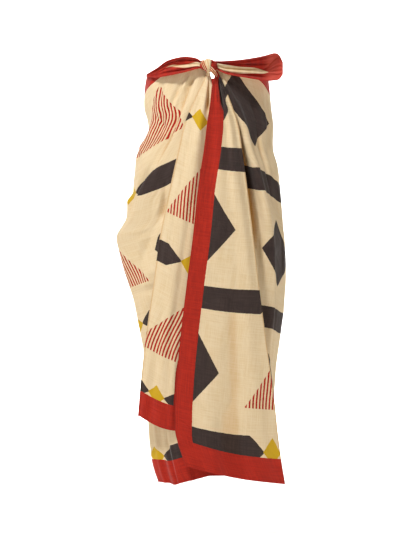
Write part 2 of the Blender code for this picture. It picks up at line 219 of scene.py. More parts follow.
# The front panels: the free edge and the fold at their sides, with the drop of one cloth row at each, how
# far the row sags between them and how far the panel stands proud of the tube.
PanelRow = namedtuple("PanelRow", "free_x free_drop fold_x fold_drop belly proud")
RIGHT_PANEL_ROWS = rows_of(
    PanelRow,
    (16.5, -10, 19, -11, 0, 16),
    (16.6, -1.8, 23, -2, 0, 17),
    (9, 24, 34, 22, 0, 20),
    (3, 75, 51, 66, 2, 23),
    (-4, 120, 70, 126, 3, 24),
    (-12, 186, 81, 198, 4, 24),
    (-27, 285, 95, 302, 5, 25),
    (-39, 400, 109, 416, 7, 25),
    (-57, 540, 126, 560, 9, 25),
    (-71, 660, 144, 696, 11, 25),
    (-80, 765, 160, 810, 16, 25),
    (-84, 860, 169, 895, 22, 25),
    (-81, 905, 177, 960, 24, 25),
    (-58, 977, 187, 1022, 14, 25),
)
LEFT_PANEL_ROWS = rows_of(
    PanelRow,
    (0.5, -12, -4, -13, 0, 22),
    (3, 2, -6, 1, 0, 13),
    (9, 28, -14, 22, 0, 15),
    (16, 78, -33, 62, 1, 17),
    (20, 153, -57, 122, 2, 17),
    (18, 232, -73, 190, 2, 15),
    (10, 332, -95, 288, 3, 14),
    (0, 452, -118, 400, 6, 14),
    (-18, 573, -135, 520, 8, 13),
    (-38, 690, -152, 640, 10, 13),
    (-46, 798, -165, 750, 12, 13),
    (-50, 889, -174, 852, 26, 13),
)

# Behind its fold each panel is turned in. The tuck is at most this share of the panel's width.
RIGHT_PANEL_TUCK = 62.0
LEFT_PANEL_TUCK = 48.0
TUCK_SHARE = 0.55
TUCK_DEPTH = 7.0
TUCK_DEPTH_AT_TOP = 3.4
TUCK_DEPTH_GROWTH = 0.05
TUCK_SAG = 0.02
FOLD_TURN = np.radians(np.linspace(15, 180, 12))
TUCK_STEPS = np.linspace(0.08, 1, 13)

# The tuck leans back until it rests this far in front of the wound cloth, which is read no further out than
# a share of its half width.
TUCK_LEAN = 0.7
REST_GAP = 3.0
FRONT_SHARE = 0.92

# The right panel lies over the left one near its free edge. Both lose their relief where they are narrow.
RIGHT_PANEL_OVERLAP = 8.0
OVERLAP_SHARE = 0.35
FULL_RELIEF_WIDTH = 90.0

# Beside its fold a panel turns away from the viewer, by this depth over the last share of its width. It does
# so fully down to one drop, and not at all below the other.
TURN_AWAY = 7.0
TURN_AWAY_FROM = 0.72
TURN_AWAY_OVER = 0.28
TURN_AWAY_FADE = (440, 740)

# The end border is folded in near the knot: by how much, and the drops between which it comes out.
LEFT_BORDER_FOLDED = (44, 560, 760)
RIGHT_BORDER_FOLDED = (22, 0, 150)

# Folds on the panels. The places are shares of the width (0 at the free edge, 1 at the fold), and the half
# widths are those at a panel width of 110.
PANEL_SCALE = 110.0
RIGHT_PANEL_FOLDS = rows_of(
    Fold,
    (0.30, 20, 0.42, 420, 5, 15, 17),
    (0.72, 20, 0.80, 380, 5, 13, 13),
    (0.12, 30, 0.16, 620, -3, 11, 11),
    (0.88, 300, 0.86, 1000, 5, 17, 13),
    (0.34, 640, 0.28, 1035, 6, 15, 17),
    (0.60, 560, 0.58, 1035, -6, 15, 15),
)
LEFT_PANEL_FOLDS = rows_of(
    Fold,
    (0.55, 20, 0.62, 380, 5, 17, 17),
    (0.30, 60, 0.34, 620, -4, 15, 15),
    (0.70, 420, 0.66, 900, 5, 20, 15),
)

# The tails: the upper and lower outline, the depth and the cup at each distance out from the knot.
TailRow = namedtuple("TailRow", "x upper lower y cup")
RIGHT_TAIL_ROWS = rows_of(
    TailRow,
    (7, 31, 21, -125, 2),
    (17.3, 34, 17, -129, 4),
    (30, 34, 9, -132, 8),
    (45, 35, 3, -133, 11),
    (75, 37, -3, -131, 15),
    (110, 42, -9, -121, 18),
    (140, 48, -14, -106, 19),
    (163, 54, -13, -91, 17),
    (175, 49, -10, -82, 12),
    (184, 32, 2, -75, 5),
)
LEFT_TAIL_ROWS = rows_of(
    TailRow,
    (-10, 31, 21, -124, 2),
    (-21.3, 35, 18, -128, 3),
    (-34, 42, 15, -130, 8),
    (-60, 45, 8, -126, 12),
    (-86, 41, 2, -116, 12),
    (-108, 33, -2, -103, 11),
    (-130, 17, -6, -82, 9),
    (-148, 6, -5, -58, 6),
    (-156, 1, -3, -40, 3),
)
# How high the tails' broad pleats are at the knot, how many there are, and the least half height that a
# crease is laid out on.
TAIL_GATHER = 1.6
TAIL_PLEATS = 2
LEAST_HALF_HEIGHT = 4

# Fine pleats of the tails: how high they are, how far they turn in radians across and outwards, where they
# start, and how much of them has faded out at the tip.
FinePleat = namedtuple("FinePleat", "height across outward start faded")
TAIL_FINE_PLEATS = rows_of(FinePleat, (0.5, 17, 0, 1.3, 1), (0.25, 31, 9, 0, 0))

# Where the rows of the cloth lie on the panels: how far below the cloth's top edge each table row is.
RIGHT_PANEL_CLOTH = (116, 125, 152, 204, 249, 316, 415, 532, 673, 794, 900, 995, 1040, 1100)
LEFT_PANEL_CLOTH = (216, 228, 250, 290, 352, 423, 525, 640, 766, 888, 1000, 1100)

# How much of the cloth's top is gathered up into the knot at each angle of the tube.
Gather = namedtuple("Gather", "angle taken_up")
WRAP_GATHER = rows_of(
    Gather,
    (0, 128),
    (12, 92),
    (30, 66),
    (60, 40),
    (78, 14),
    (100, 0),
    (180, 0),
    (262, 0),
    (284, 14),
    (300, 34),
    (324, 66),
    (345, 100),
    (360, 128),
)

# Creases, narrower than the folds, from a start to an end, raised or sunk by a height.
WRAP_CREASES = rows_of(
    Fold,
    # over the left hip
    (314, 12, 311, 150, -4.7, 9, 10, 2),
    (349, 6, 333, 112, -8.5, 5, 4.5),
    (333, 108, 307, 272, -8.5, 6, 5, 3),
    (329, 262, 321, 372, -6.8, 6, 7),
    (303, 108, 318, 138, -3.4, 5, 5),
    (322, 30, 306, 118, 2.7, 8, 10),
    (300, 20, 280, 70, 2.4, 8, 8),
    (345, 6, 327, 100, 3.6, 5, 5),
    (315, 240, 284, 414, 7.0, 5, 12),
    (309, 240, 278, 396, -11.0, 13, 6),
    (325, 150, 306, 250, -5.0, 6, 8),
    (300, 300, 284, 330, 2.4, 6, 6),
    (340, 8, 318, 120, -4.4, 6, 6, 3),
    (327, 150, 309, 300, -5.4, 9, 9, 3),
    (334, 225, 306, 440, 6.2, 11, 11, 4),
    (330, 300, 300, 470, -6.0, 10, 10),
    (322, 400, 294, 418, 2.4, 6, 6),
    (312, 380, 288, 405, 1.9, 5, 6),
    (336, 470, 300, 505, 2.7, 9, 9),
    (326, 530, 288, 548, -5.0, 11, 9),
    (318, 600, 292, 690, 4.2, 10, 10),
    (324, 640, 296, 760, -5.0, 10, 10),
    (285, 520, 283, 740, 3.2, 8, 10),
    (296, 700, 299, 1035, 3.5, 8, 9),
    (312, 860, 324, 1035, -4.6, 8, 9),
    (322, 905, 330, 1035, 4.9, 7, 8),
    (338, 880, 344, 1035, 3.2, 7, 8),
    (280, 205, 300, 250, -2.7, 7, 7),
    (272, 160, 292, 205, 2.4, 7, 7),
    # over the right hip
    (9, 2, 27, 42, 4.6, 5, 5, 3),
    (10, 8, 24, 78, -4.3, 4, 5, 3),
    (9, 0, 38, 18, -3.5, 5, 5, 2),
    (12, 0, 50, 26, 3.0, 6, 6, 2),
    (11, 14, 21, 110, 4.1, 4, 4, 3),
    (19, 60, 47, 400, 8, 8, 11, 9),
    (25, 150, 36, 430, -6, 9, 8, 3),
    (40, 60, 60, 330, -4.2, 8, 9, 6),
    (58, 40, 61, 185, 3.5, 8, 9),
    (40, 90, 62, 250, 2.4, 8, 8, 4),
    (46, 300, 60, 620, 2.7, 7, 8),
    (60, 480, 66, 900, -2.7, 8, 8),
    (74, 250, 80, 520, 2.4, 9, 9),
    # round the back and its sides
    (96, 12, 110, 190, -3.4, 8, 9),
    (114, 16, 132, 170, 3.0, 9, 9),
    (104, 90, 131, 260, -2.4, 7, 8),
    (131, 380, 133, 1035, -4.2, 7, 9, 3),
    (115, 560, 113, 1035, 3.6, 8, 7),
    (150, 420, 149, 1035, 4.4, 8, 9),
    (160, 14, 146, 150, 2.6, 8, 8),
    (168, 380, 170, 760, 3.4, 9, 9),
    (170, 24, 200, 140, -2.8, 8, 9),
    (176, 120, 215, 240, 2.2, 8, 8),
    (186, 560, 184, 1035, -4.6, 7, 9, 3),
    (203, 430, 206, 1035, 4.2, 8, 9),
    (222, 500, 225, 1035, 4.4, 9, 8, -3),
    (241, 440, 244, 1035, -4.0, 8, 8),
    (262, 430, 266, 1035, 4.0, 8, 9),
    (228, 12, 254, 130, 3.0, 8, 8),
    (216, 30, 246, 190, -2.8, 8, 8),
    (248, 230, 258, 420, 3.0, 8, 8),
    (238, 180, 262, 300, -2.2, 8, 8),
)
RIGHT_PANEL_CREASES = rows_of(
    Fold,
    (0.66, -2, 0.62, 84, -26, 8, 7),
    (0.90, -4, 0.84, 64, -12, 6, 7),
    (0.36, -2, 0.34, 70, 8, 8, 8),
    (0.62, 8, 0.66, 250, -2.6, 8, 9),
    (0.80, 8, 0.82, 200, 2.0, 7, 8),
    (0.92, 20, 0.93, 260, -1.6, 6, 6),
    (0.46, 8, 0.50, 330, 1.6, 9, 9),
    (0.22, 40, 0.30, 420, -1.8, 8, 8),
    (0.86, 240, 0.90, 560, 2.4, 6, 7),
    (0.74, 330, 0.70, 640, -1.8, 8, 8),
    (0.52, 520, 0.46, 900, 1.8, 8, 9),
    (0.90, 620, 0.93, 1035, -3.0, 7, 7),
    (0.22, 760, 0.18, 1035, -3.8, 8, 9),
    (0.46, 820, 0.44, 1035, -4.4, 7, 8),
    (0.72, 780, 0.73, 1035, 4.2, 8, 8),
    (0.34, 860, 0.32, 1035, 3.2, 7, 7),
    (0.02, 158, 0.26, 166, 0.9, 3, 3),
    (0.02, 372, 0.22, 380, 0.8, 3, 3),
)
LEFT_PANEL_CREASES = rows_of(
    Fold,
    (0.42, -10, 0.37, 92, -22, 9, 9),
    (0.24, 8, 0.22, 130, 3.5, 8, 8),
    (0.60, 8, 0.56, 190, 2.6, 11, 11),
    (0.80, 40, 0.82, 300, -3.2, 6, 7),
    (0.90, 250, 0.88, 640, 3.0, 7, 6),
    (0.52, 300, 0.50, 700, -3.2, 8, 8),
    (0.74, 560, 0.78, 900, -4.6, 9, 8),
    (0.40, 640, 0.36, 900, 3.6, 9, 8),
    (0.92, 700, 0.93, 900, 3.0, 6, 6),
    (0.16, 700, 0.20, 900, -3.0, 8, 8),
)

# Slow unevenness of all the cloth: how long each ripple is along the cloth and down it, and its height. It
# fades in below the waist edge, over a share of the cloth, and is shifted along on the panels.
RIPPLE_FADE = 0.1
PANEL_RIPPLE_SHIFT = 900
Ripple = namedtuple("Ripple", "along down phase height")
RIPPLES = rows_of(
    Ripple,
    (131, 520, 0.3, 0.5),
    (-83, 410, 1.9, 0.35),
    (57, -330, 4.1, 0.22),
    (37, 210, 2.6, 0.14),
    (190, 97, 5.2, 0.25),
    (-71, 61, 0.9, 0.12),
)

# The cream that shows inside a tail between its red edges: its middle and half width, as shares of the
# tail's half height, at each distance out.
Lens = namedtuple("Lens", "x middle half")
RIGHT_TAIL_CREAM = rows_of(
    Lens,
    (5, -0.05, 0.62),
    (14, -0.05, 0.62),
    (38, -0.12, 0.56),
    (77, -0.24, 0.42),
    (115, -0.22, 0.26),
    (140, -0.32, 0.10),
    (150, -0.34, 0.0),
    (190, -0.34, -0.3),
)
LEFT_TAIL_CREAM = rows_of(
    Lens,
    (8, -0.05, 0.5),
    (14, -0.05, 0.50),
    (24, -0.06, 0.44),
    (60, -0.24, 0.20),
    (98, 0.16, 0.09),
    (108, 0.18, 0.0),
    (160, 0.18, -0.3),
)

# Creases of the tails. Their places are distances out and shares of the half height, and they fade in and
# out over shares of their length.
TailCrease = namedtuple("TailCrease", "from_x from_across to_x to_across height width")
TAIL_FADE_IN = 0.2
TAIL_FADED_AT_START = 0.5
TAIL_FADE_OUT_FROM = 0.8
TAIL_FADE_OUT = 0.3
RIGHT_TAIL_CREASES = rows_of(
    TailCrease,
    (8, 0.7, 150, 0.30, -5.0, 2.6),
    (8, 0.4, 165, 0.75, 3.6, 2.8),
    (12, -0.55, 140, -0.42, 3.2, 2.4),
    (8, -0.2, 130, -0.1, -2.6, 2.4),
    (40, -0.8, 150, -0.7, -3.2, 2.4),
    (20, 0.1, 120, 0.12, 2.0, 2.2),
    (60, 0.9, 160, 0.85, -2.4, 2.2),
    (24, -0.9, 100, -0.6, 2.2, 2.2),
    (138, -0.3, 186, 0.55, 1.8, 2.0),
    (138, -0.3, 187, 0.25, -2.0, 2.0),
    (138, -0.3, 188, -0.02, 1.8, 2.0),
    (138, -0.3, 187, -0.3, -2.0, 2.0),
    (138, -0.3, 184, -0.6, 1.8, 2.0),
    (134, -0.2, 178, 0.85, -2.2, 2.2),
)
LEFT_TAIL_CREASES = rows_of(
    TailCrease,
    (12, 0.5, 110, 0.3, -4.4, 2.6),
    (12, 0.1, 90, 0.55, 3.4, 2.6),
    (16, -0.5, 120, -0.3, 2.8, 2.4),
    (60, 0.7, 140, 0.5, -3.4, 2.6),
    (50, -0.75, 150, -0.3, -2.8, 2.4),
    (30, 0.85, 120, 0.75, 2.4, 2.2),
    (40, 0.0, 130, 0.05, -2.2, 2.2),
    (90, 0.4, 152, -0.1, 1.8, 2.2),
)

# A tail's red is painted by its outline, so its place on the cloth only has to stay off the borders: the
# middle of that place, and how much of the tail it takes. The red's edge and the single layer's are soft.
TAIL_CLOTH = (105, 250)
TAIL_CLOTH_SHARE = 0.2
DYE_EDGE = 1.4
SINGLE_LAYER_EDGE = 30

# The folded strands that make up the knot. Each runs through its points, and is so wide and so thick. The
# first column is the direction of its width, then come its pleats and its place on the cloth.
Strand = namedtuple("Strand", "across pleats cloth_u cloth_v widened dyed points")
StrandPoint = namedtuple("StrandPoint", "x y z half_width half_thickness")
KNOT_STRANDS = {
    "core": Strand((0.1, 0, 1), 7, 125, 260, 1, True, rows_of(
        StrandPoint,
        (-20, -124, 24, 7, 6),
        (-10, -129, 22, 10, 11),
        (0, -131, 20, 12, 13),
        (9, -131, 20, 10.5, 12),
        (18, -127, 23, 8, 7),
    )),
    "middle_band": Strand((1, 0, 0.05), 3, 125, 244, 1, False, rows_of(
        StrandPoint,
        (-3, -110, 24, 6, 3),
        (-3, -118, 34, 7, 3),
        (-3, -128, 38.5, 7.2, 3.2),
        (-2.7, -139, 35, 7.4, 3.4),
        (-2, -145, 27, 6.4, 3.4),
        (-1.5, -147, 20, 4.8, 3.2),
        (-1, -145, 12, 3.2, 3),
        (-1, -140, 5, 2.8, 2.6),
        (-1, -133, -1, 3, 2.4),
    )),
    "left_band": Strand((0.9, 0, 0.42), 3, 252, 150, 2.2, False, rows_of(
        StrandPoint,
        (-17, -114, 28, 4, 3),
        (-16.5, -126, 34, 4.6, 3),
        (-14.5, -137, 32.5, 5, 3.2),
        (-12, -143, 25, 5, 3.3),
        (-8.8, -145, 18, 4.6, 3.2),
        (-5.5, -143, 12, 3.6, 2.8),
        (-3, -138, 6, 2.6, 2.2),
    )),
    "right_strand": Strand((0.65, 0, 0.75), 3, 252, 150, 2.2, False, rows_of(
        StrandPoint,
        (-2, -137, 23, 4.4, 3),
        (2.5, -143, 18, 5.4, 3.2),
        (8.5, -144.5, 12, 5.6, 3.4),
        (13, -142, 6.5, 5.2, 3.2),
        (16.5, -137, 1.5, 4.4, 2.8),
        (18.5, -132, -3, 3.4, 2.4),
    )),
    "upper_right_fold": Strand((0.2, 0, 1), 2, 125, 260, 1, True, rows_of(
        StrandPoint,
        (24, -121, 29, 1.5, 1.2),
        (16, -130, 30.5, 3.2, 2.4),
        (8, -135, 34, 3.4, 2.6),
        (2, -133, 36, 3, 2.4),
        (-3, -127, 36, 2.6, 2.2),
    )),
}
# The pleats along a strand: how deep they are, how much of that shows at its edges, and how far and how
# fast they wander sideways. The last value is the cloth that a strand takes up, as a share of its length.
PLEAT_DEPTH = 0.2
PLEAT_DEPTH_AT_EDGES = 0.3
PLEAT_WANDER = 0.6
PLEAT_WANDER_RATE = 1.7
STRAND_CLOTH_SHARE = 0.5

# Painted shade: deep folds, tucks, tail creases and knot pleats are darkened towards a warm ochre, for the
# shade and the warm light between the layers of a fold. Near the knot the folds are tight, so the painted
# shade starts at a smaller depth than in the open folds lower down. The back's flutes, between two angles,
# stay open and get none.
TIGHT_TO_OPEN_DROPS = (190, 260)
TIGHT_AND_OPEN_DEPTHS = (6, 11)
PANEL_SHALLOW_DEPTH = 3
PAINTED_SHADE_DEPTH = 8
OPEN_FLUTES = (95, 262)
TUCK_PAINTED_SHADE = 0.4
TAIL_PAINTED_SHADE = 0.22
STRAND_PAINTED_SHADE = 0.7

# Colours as sRGB hex values.
CREAM = "#E5D1AE"
CREAM_SLUB = "#DEC69C"
CHARCOAL = "#362B29"
CHARCOAL_WORN = "#40332F"
RED = "#B42816"
RED_DEEP = "#9E2013"
# A paler red painted where light shines through a single layer.
PAINTED_SHINE_THROUGH_RED = "#CB5143"
RED_THREAD = "#8E1E15"
MUSTARD = "#C9A21B"
# The ochre that painted shade in deep folds darkens the cloth towards.
PAINTED_SHADE_COLOUR = "#DDB36E"
PALE_PAPER = "#F4F4F3"
PALE_PAPER_SHADE = "#F1F1F0"

# The printed design: rows of motifs that repeat along the cloth and down it. Each motif is a lozenge of
# these half sizes, cut off above and below its middle.
REPEAT_ALONG = 420.0
REPEAT_DOWN = 350.0
Motif = namedtuple("Motif", "along down half_along half_down cut_above cut_below")
CHARCOAL_MOTIFS = rows_of(
    Motif,
    (40, 330, 190, 130, -28, 28),
    (40, 155, 62, 88, -90, 90),
)
STRIPED_MOTIFS = rows_of(Motif, (262, 230, 90, 150, -155, 0))
MUSTARD_MOTIFS = rows_of(Motif, (250, 330, 24, 24, -30, 30))
STRIPE_PITCH = 8.7
STRIPE_SHARE = 0.52

# The dye's edge wanders by this much either way, about every 6 mm.
PRINT_WANDER = 0.7
PRINT_WANDER_SCALE = 0.16

# Real stitches are 2 mm long, which a picture of a whole garment can't show, so they are drawn as dashes.
STITCH_INSET = 5.0
STITCH_WIDTH = 0.9
STITCH_PITCH = 6.0
STITCH_SHARE = 0.65

# Real threads lie 0.4 mm apart, which a picture of a whole garment can't show. Their slubs are drawn as
# streaks about 2 mm wide and 60 mm long instead, along the cloth and down it.
SLUB_SCALE = 0.5
WEFT_STRETCH = (0.035, 0.9, 1)
WARP_STRETCH = (0.9, 0.03, 1)
SLUB_RANGE = (0.18, 0.34)

# Washed cotton isn't pressed flat, and one crumple of it is about 42 mm wide.
CRUMPLE_SCALE = 0.024


def hermite(places, values, at):
    """A smooth curve through the values at their places, read at one or more places."""
    places = np.asarray(places, float)
    values = np.asarray(values, float)
    at = np.clip(np.asarray(at, float), places[0], places[-1])
    slopes = np.gradient(values, places)
    i = np.clip(np.searchsorted(places, at, side="right") - 1, 0, len(places) - 2)
    step = places[i + 1] - places[i]
    q = (at - places[i]) / step
    return (
        values[i] * (2 * q**3 - 3 * q**2 + 1)
        + slopes[i] * step * (q**3 - 2 * q**2 + q)
        + values[i + 1] * (3 * q**2 - 2 * q**3)
        + slopes[i + 1] * step * (q**3 - q**2)
    )


def column(table, name, at):
    """One named column of a table, read smoothly along the table's first column."""
    return hermite([row[0] for row in table], [getattr(row, name) for row in table], at)


def columns_by_row(table, rows):
    """Every column of a table, read smoothly at evenly spaced rows."""
    steps = range(len(table))
    place = np.linspace(0, len(table) - 1, rows)
    return [hermite(steps, values, place)[:, None] for values in zip(*table)]


def smooth_step(value):
    """Rises from 0 to 1 as the value does, and is level at both ends."""
    value = np.clip(value, 0, 1)
    return value * value * (3 - 2 * value)


def fold_relief(folds, across, drop, scale):
    """The sum of the folds' heights at each point. Scale turns the places into millimetres."""
    total = np.zeros(np.broadcast(across, drop).shape)
    for fold in folds:
        start = np.array([fold.start_at * scale, fold.start_drop])
        run = np.array([fold.end_at * scale, fold.end_drop]) - start
        length = np.hypot(*run)
        right = across * scale - start[0]
        down = drop - start[1]
        along = (right * run[0] + down * run[1]) / length**2
        bow = 4 * np.clip(along, 0, 1) * (1 - np.clip(along, 0, 1))
        beside = (right * run[1] - down * run[0]) / length - fold.bend * bow
        strength = smooth_step(along / FADE_IN + FADED_AT_START)
        if fold.end_drop < HEM_REACH:
            strength = strength * (1 - smooth_step((along - FADE_OUT_FROM) / FADE_OUT))
        width = np.where(beside < 0, fold.before, fold.after)
        total = total + fold.height * np.exp(-((beside / width) ** 2)) * strength
    return total


def drawn_in(grid):
    """Moves points towards the line of sight by their depth, so that from the front they look as given."""
    nearness = 1 + grid[..., 1:2] / SIGHT_DISTANCE
    sight = np.array([SIGHT_X, 0.0, -SIGHT_DROP])
    depth_only = np.array([0.0, 1.0, 0.0])
    return sight + (grid - sight) * nearness * (1 - depth_only) + grid * depth_only


def signed_power(value, power):
    """A power of the value that keeps the value's sign."""
    return np.sign(value) * np.abs(value) ** power


def wrap_outline(angle, drop):
    """The tube's smooth outline, without its folds: x and y at an angle and a drop."""
    turn = np.radians(angle)
    right, left, front, back = (
        column(WRAP_SECTIONS, reach, drop) for reach in ("right", "left", "front", "back")
    )
    side = np.where(np.sin(turn) > 0, right, left)
    face = np.where(np.cos(turn) > 0, front, back)
    return (
        side * signed_power(np.sin(turn), CORNER_ROUNDNESS),
        -face * signed_power(np.cos(turn), CORNER_ROUNDNESS),
    )


def front_angle(x, drop):
    """The angle at which the tube's front passes a given x."""
    side = np.where(x > 0, column(WRAP_SECTIONS, "right", drop), column(WRAP_SECTIONS, "left", drop))
    share = np.abs(x / side) ** (1 / CORNER_ROUNDNESS)
    return np.sign(x) * np.degrees(np.arcsin(share))


def hip_crest(angle, drop):
    """How far the crest over the left hip stands out of the tube."""
    beside = (angle - column(HIP_CREST, "angle", drop)) * DEGREE
    width = np.where(beside < 0, column(HIP_CREST, "before", drop), column(HIP_CREST, "after", drop))
    away = np.sqrt(beside**2 + CREST_ROUNDING**2) - CREST_ROUNDING
    return column(HIP_CREST, "reach", drop) * np.exp(-((away / width) ** CREST_POWER))


def wrap_point(angle, drop):
    """A point of the tube's outer face, folds included."""
    x, y = wrap_outline(angle, drop)
    ahead_x, ahead_y = wrap_outline(angle + 1, drop)
    back_x, back_y = wrap_outline(angle - 1, drop)
    along = np.stack([ahead_x - back_x, ahead_y - back_y], -1)
    along = along / np.linalg.norm(along, axis=-1, keepdims=True)
    relief = fold_relief(WRAP_FOLDS, angle, drop, DEGREE) + hip_crest(angle, drop)
    return np.stack([x + along[..., 1] * relief, y - along[..., 0] * relief, -drop], -1)


def curtain(x, drop):
    """The depth of a flat cloth hung in front of the tube."""
    front = column(WRAP_SECTIONS, "front", drop)
    return -front * np.sqrt(1 - np.minimum(np.abs(x) / CURTAIN_REACH, CURTAIN_END) ** 2)


def arc_length(points):
    """The distance along each row of points, from its first."""
    steps = np.linalg.norm(np.diff(points, axis=1), axis=2)
    return np.concatenate([np.zeros((points.shape[0], 1)), np.cumsum(steps, axis=1)], 1)


def rippled(along, down):
    """The slow unevenness of the cloth at places on it."""
    total = 0.0
    for ripple in RIPPLES:
        turn = 2 * math.pi * (along / ripple.along + down / ripple.down) + ripple.phase
        total = total + ripple.height * np.sin(turn)
    return total


def raised(points, height):
    """Moves a grid of points along its own surface by a height at each point, away from the tube's axis."""
    along = np.gradient(points, axis=1)
    down = np.gradient(points, axis=0)
    normal = np.cross(along, down)
    normal = normal / np.maximum(np.linalg.norm(normal, axis=2, keepdims=True), 1e-9)
    outward = points * np.array([1.0, 1.0, 0.0])
    side = np.sign(np.sum(normal * outward, axis=2, keepdims=True))
    return points + normal * side * height[..., None]


def linear(hex_colour):
    """An sRGB hex colour as linear red, green, blue and alpha."""
    parts = [int(hex_colour[i : i + 2], 16) / 255 for i in (1, 3, 5)]
    return [p / 12.92 if p <= 0.04045 else ((p + 0.055) / 1.055) ** 2.4 for p in parts] + [1.0]


def add(tree, kind, values=(), links=(), **settings):
    """Adds one node with its settings, the values of its sockets and its links from other sockets."""
    made = tree.nodes.new(kind)
    for name, value in settings.items():
        setattr(made, name, value)
    for socket, value in dict(values).items():
        made.inputs[socket].default_value = value
    for socket, source in dict(links).items():
        tree.links.new(source, made.inputs[socket])
    return made


def in_scene(name, data):
    """A new object of the scene, with its mesh, curve, light or camera."""
    made = bpy.data.objects.new(name, data)
    bpy.context.scene.collection.objects.link(made)
    return made


def cloth_mesh(name, points, cloth, painted_shade, dye, thin=0.0):
    """A cloth surface through a grid of points, with its places on the flat cloth as its map."""
    rows, columns = points.shape[:2]
    corner = (np.arange(rows - 1)[:, None] * columns + np.arange(columns - 1)[None, :]).reshape(-1)
    quads = np.stack([corner, corner + columns, corner + columns + 1, corner + 1], 1)
    mesh = bpy.data.meshes.new(name)
    mesh.from_pydata((points.reshape(-1, 3) * MM).tolist(), [], quads.tolist())
    layer = mesh.uv_layers.new(name="cloth")
    layer.data.foreach_set("uv", (cloth.reshape(-1, 2)[quads.reshape(-1)] * MM).reshape(-1))
    # Each point carries its painted shade, its red, and where a single layer gets a painted shine-through.
    for label, values in (("painted_shade", painted_shade), ("red", dye), ("thin", thin)):
        data = mesh.attributes.new(label, "FLOAT", "POINT").data
        data.foreach_set("value", np.broadcast_to(values, (rows, columns)).astype(np.float32).reshape(-1))
    mesh.shade_smooth()
    return in_scene(name, mesh)


def cloth_piece(name, node, points, cloth, painted_shade, dye, finish, thin=0.0):
    """A piece of cloth on the form of a node: a surface with the cloth's own thickness."""
    piece = cloth_mesh(name, points, cloth, painted_shade, dye, thin)
    piece.data.materials.append(finish)
    thick = piece.modifiers.new("thickness", "SOLIDIFY")
    thick.thickness = CLOTH_THICKNESS * MM
    thick.offset = -1
    # The faces shade the cloth right up to its edges, so no line shows where two stretches of it meet.
    even = piece.modifiers.new("even_shading", "WEIGHTED_NORMAL")
    even.weight = 100
    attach(piece, "root")
    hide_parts(node)
    return piece


def rolled_hem(name, lines, finish):
    """The narrow rolled and sewn edge along one or more lines of points."""
    curve = bpy.data.curves.new(name, "CURVE")
    curve.dimensions = "3D"
    curve.bevel_depth = HEM_RADIUS * MM
    curve.bevel_resolution = 1
    curve.use_fill_caps = True
    for line in lines:
        spline = curve.splines.new("POLY")
        spline.points.add(len(line) - 1)
        spline.points.foreach_set("co", np.concatenate([line * MM, np.ones((len(line), 1))], 1).reshape(-1))
    hem = in_scene(name, curve)
    hem.data.materials.append(finish)
    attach(hem, "root")
    return hem


def wrap_surface():
    """The whole tube as one grid: its points, its places on the cloth and the painted shade of its deep
    folds.
    """
    down = np.linspace(0, 1, WRAP_GRID.rows)[:, None]
    shares = np.linspace(0, 1, WRAP_GRID.columns)[None, :]
    guess = np.broadcast_to(down * HEM_REACH, (WRAP_GRID.rows, WRAP_GRID.columns))
    for _ in range(3):
        start = front_angle(column(FRONT_ENDS, "right_end", guess), guess)
        end = 360 + front_angle(column(FRONT_ENDS, "left_end", guess), guess)
        angle = start + (end - start) * shares
        top = column(WRAP_EDGES, "top", angle)
        hem = column(WRAP_EDGES, "hem", angle)
        guess = top + (hem - top) * down
    points = wrap_point(angle, guess)
    along = arc_length(points)
    middle = np.array([np.interp(180, angle[row], along[row]) for row in range(WRAP_GRID.rows)])[:, None]
    taken_up = np.maximum(column(WRAP_GATHER, "taken_up", angle), 0)
    cloth = np.stack([BACK_MIDDLE + along - middle, taken_up + down * (CLOTH_HEIGHT - taken_up)], -1)
    creases = fold_relief(WRAP_CREASES, angle, guess, DEGREE)
    ripples = rippled(cloth[..., 0], cloth[..., 1]) * smooth_step(down / RIPPLE_FADE)
    # Painted shade for the deep folds: how far each point lies below the depth at which the painted shade
    # starts.
    tight_folds = [fold for fold in WRAP_FOLDS if not OPEN_FLUTES[0] < fold.start_at < OPEN_FLUTES[1]]
    deep = fold_relief(tight_folds, angle, guess, DEGREE) + creases
    shallow = np.interp(guess, TIGHT_TO_OPEN_DROPS, TIGHT_AND_OPEN_DEPTHS)
    painted_shade = np.clip((-deep - shallow) / PAINTED_SHADE_DEPTH, 0, 1)
    return raised(points, creases + ripples), cloth, painted_shade


def wrap_front(x, drop):
    """The depth at which a cloth would rest on the front of the tube, its folds and creases included."""
    right, left = (column(WRAP_SECTIONS, side, drop) * FRONT_SHARE for side in ("right", "left"))
    angle = front_angle(np.clip(x, -left, right), drop) % 360
    creases = fold_relief(WRAP_CREASES, angle, drop, DEGREE)
    return wrap_point(angle, drop)[..., 1] - np.maximum(creases, 0) - REST_GAP


